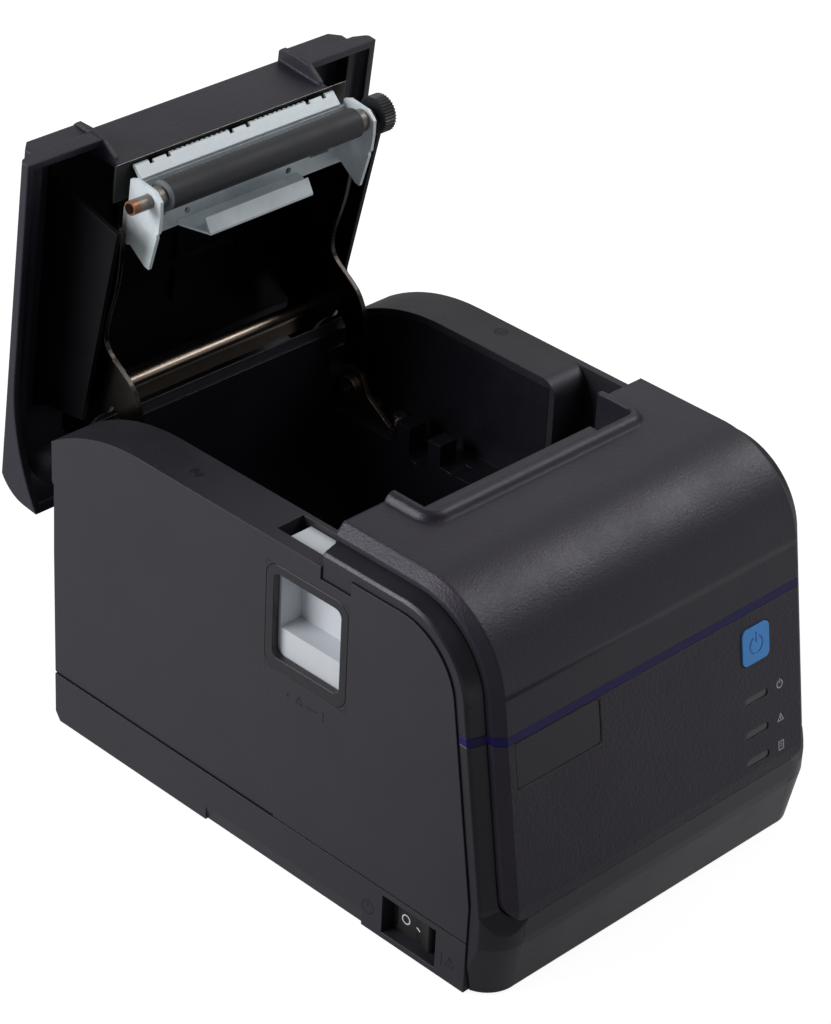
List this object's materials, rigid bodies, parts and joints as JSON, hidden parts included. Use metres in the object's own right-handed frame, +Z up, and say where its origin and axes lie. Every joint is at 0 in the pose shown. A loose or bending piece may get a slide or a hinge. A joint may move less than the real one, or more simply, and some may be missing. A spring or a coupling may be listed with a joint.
{
  "type": "receipt printer",
  "caption": "Desktop thermal receipt printer with its top cover standing open, showing the paper bucket, platen roller and hinge arms.",
  "frame": {"origin": "middle of the footprint on the surface it stands on, cover open", "axes": "+X to the right seen from the front, the front faces -Y, +Z up"},
  "size_m": [0.145, 0.2284, 0.1942],
  "materials": {
    "base_tub": "fine grain",
    "upper_case": "satin with fine grain",
    "paper_bucket": "plain moulded",
    "front_frame": "satin",
    "front_cover": "fine texture",
    "front_panel": "fine texture",
    "trim_stripe": "tinted, smooth",
    "badge_plate": "bare and smooth",
    "led_lenses": "translucent grey",
    "panel_board": "circuit board",
    "feed_button": "satin",
    "window_bezel": "fine grain",
    "release_lever": "satin",
    "lever_spring": "wire",
    "switch_body": "plain moulded",
    "power_rocker": "satin",
    "hinge_brackets": "bright plated",
    "hinge_pins": "turned",
    "cover_shell": "fine texture",
    "cover_frame": "plain moulded",
    "hinge_arm_left": "bright plated",
    "hinge_arm_right": "bright plated",
    "cross_bar": "bright plated",
    "platen_bracket": "zinc plated",
    "platen_bushes": "sintered bronze",
    "tear_comb": "zinc plated",
    "fixed_blade": "ground edge",
    "paper_guide": "zinc plated",
    "cover_screws": "plain",
    "platen_shaft": "turned",
    "platen_roller": "ground rubber",
    "platen_gear": "moulded",
    "head_frame": "zinc plated",
    "print_head": "plain",
    "head_springs": "wire",
    "latch_hooks": "zinc plated",
    "feed_motor": "dull",
    "motor_pinion": "moulded",
    "idler_gear": "moulded",
    "cutter_housing": "zinc plated",
    "cutter_blade": "ground",
    "cutter_pinion": "moulded",
    "cutter_motor": "dull",
    "main_board": "circuit board",
    "rear_plate": "fine grain",
    "power_inlet": "plain moulded",
    "data_sockets": "tin plated",
    "drawer_socket": "plain moulded",
    "sensor_lever": "moulded",
    "rubber_feet": "plain",
    "case_screws": "plain",
    "mechanism_screws": "plain"
  },
  "bodies": {
    "base": {"base_tub": "base_tub", "upper_case": "upper_case", "paper_bucket": "paper_bucket", "front_frame": "front_frame", "front_cover": "front_cover", "front_panel": "front_panel", "trim_stripe": "trim_stripe", "badge_plate": "badge_plate", "led_lenses": "led_lenses", "panel_board": "panel_board", "window_bezel": "window_bezel", "lever_spring": "lever_spring", "switch_body": "switch_body", "hinge_brackets": "hinge_brackets", "hinge_pins": "hinge_pins", "head_frame": "head_frame", "head_springs": "head_springs", "feed_motor": "feed_motor", "cutter_housing": "cutter_housing", "cutter_motor": "cutter_motor", "main_board": "main_board", "rear_plate": "rear_plate", "power_inlet": "power_inlet", "data_sockets": "data_sockets", "drawer_socket": "drawer_socket", "rubber_feet": "rubber_feet", "case_screws": "case_screws", "mechanism_screws": "mechanism_screws"},
    "cover": {"cover_shell": "cover_shell", "cover_frame": "cover_frame", "hinge_arm_left": "hinge_arm_left", "hinge_arm_right": "hinge_arm_right", "cross_bar": "cross_bar", "platen_bracket": "platen_bracket", "platen_bushes": "platen_bushes", "tear_comb": "tear_comb", "fixed_blade": "fixed_blade", "paper_guide": "paper_guide", "cover_screws": "cover_screws"},
    "platen": {"platen_shaft": "platen_shaft", "platen_roller": "platen_roller", "platen_gear": "platen_gear"},
    "button": {"feed_button": "feed_button"},
    "rocker": {"power_rocker": "power_rocker"},
    "lever": {"release_lever": "release_lever"},
    "latch": {"latch_hooks": "latch_hooks"},
    "head": {"print_head": "print_head"},
    "motor_rotor": {"motor_pinion": "motor_pinion"},
    "idler": {"idler_gear": "idler_gear"},
    "cutter_gear": {"cutter_pinion": "cutter_pinion"},
    "cutter_slide": {"cutter_blade": "cutter_blade"},
    "paper_sensor": {"sensor_lever": "sensor_lever"}
  },
  "joints": [
    {"name": "cover_hinge", "type": "hinge", "parent": "base", "child": "cover", "pos_m": [0, 0.07006, 0.0843], "axis": [1, 0, 0], "range_deg": [0, 83.6]},
    {"name": "platen_spin", "type": "hinge", "parent": "cover", "child": "platen", "pos_m": [0, 0.06767, 0.18184], "axis": [1, 0, 0], "continuous": true},
    {"name": "feed_button_press", "type": "slide", "parent": "base", "child": "button", "axis": [0, 0.9873, -0.1589], "range_m": [0, 0.0008], "stiffness_N_per_m": 400},
    {"name": "power_rocker_tilt", "type": "hinge", "parent": "base", "child": "rocker", "pos_m": [-0.0656, -0.08024, 0.0096], "axis": [0, 0, 1], "range_deg": [0, 18]},
    {"name": "release_lever_press", "type": "slide", "parent": "base", "child": "lever", "axis": [0, 0, -1], "range_m": [0, 0.0035], "stiffness_N_per_m": 500, "springref_m": -0.002, "deforming": ["lever_spring"]},
    {"name": "latch_turn", "type": "hinge", "parent": "base", "child": "latch", "pos_m": [0, -0.02894, 0.0656], "axis": [1, 0, 0], "range_deg": [0, 6.1]},
    {"name": "head_pivot", "type": "hinge", "parent": "base", "child": "head", "pos_m": [0, -0.03394, 0.067], "axis": [1, 0, 0], "range_deg": [0, 0.7], "stiffness_Nm_per_rad": 20, "springref_deg": -0.57},
    {"name": "idler_spin", "type": "hinge", "parent": "base", "child": "idler", "pos_m": [0.05, -0.04104, 0.0875], "axis": [1, 0, 0], "continuous": true},
    {"name": "motor_spin", "type": "hinge", "parent": "base", "child": "motor_rotor", "pos_m": [0.05, -0.05224, 0.0841], "axis": [1, 0, 0], "continuous": true},
    {"name": "cutter_slide_move", "type": "slide", "parent": "base", "child": "cutter_slide", "axis": [0, 1, 0], "range_m": [0, 0.003]},
    {"name": "cutter_gear_turn", "type": "hinge", "parent": "base", "child": "cutter_gear", "pos_m": [-0.0302, -0.04834, 0.104], "axis": [0, 0, 1], "range_deg": [0, 45]},
    {"name": "paper_sensor_dip", "type": "hinge", "parent": "base", "child": "paper_sensor", "pos_m": [-0.0456, 0.04326, 0.0508], "axis": [0, 1, 0], "range_deg": [0, 12], "stiffness_Nm_per_rad": 0.003}
  ],
  "couplings": [
    {"joint": "latch_turn", "follows": "release_lever_press", "rad_per_m": 29.92},
    {"joint": "motor_spin", "follows": "idler_spin", "ratio": -2.2857},
    {"joint": "cutter_gear_turn", "follows": "cutter_slide_move", "rad_per_m": 250}
  ]
}
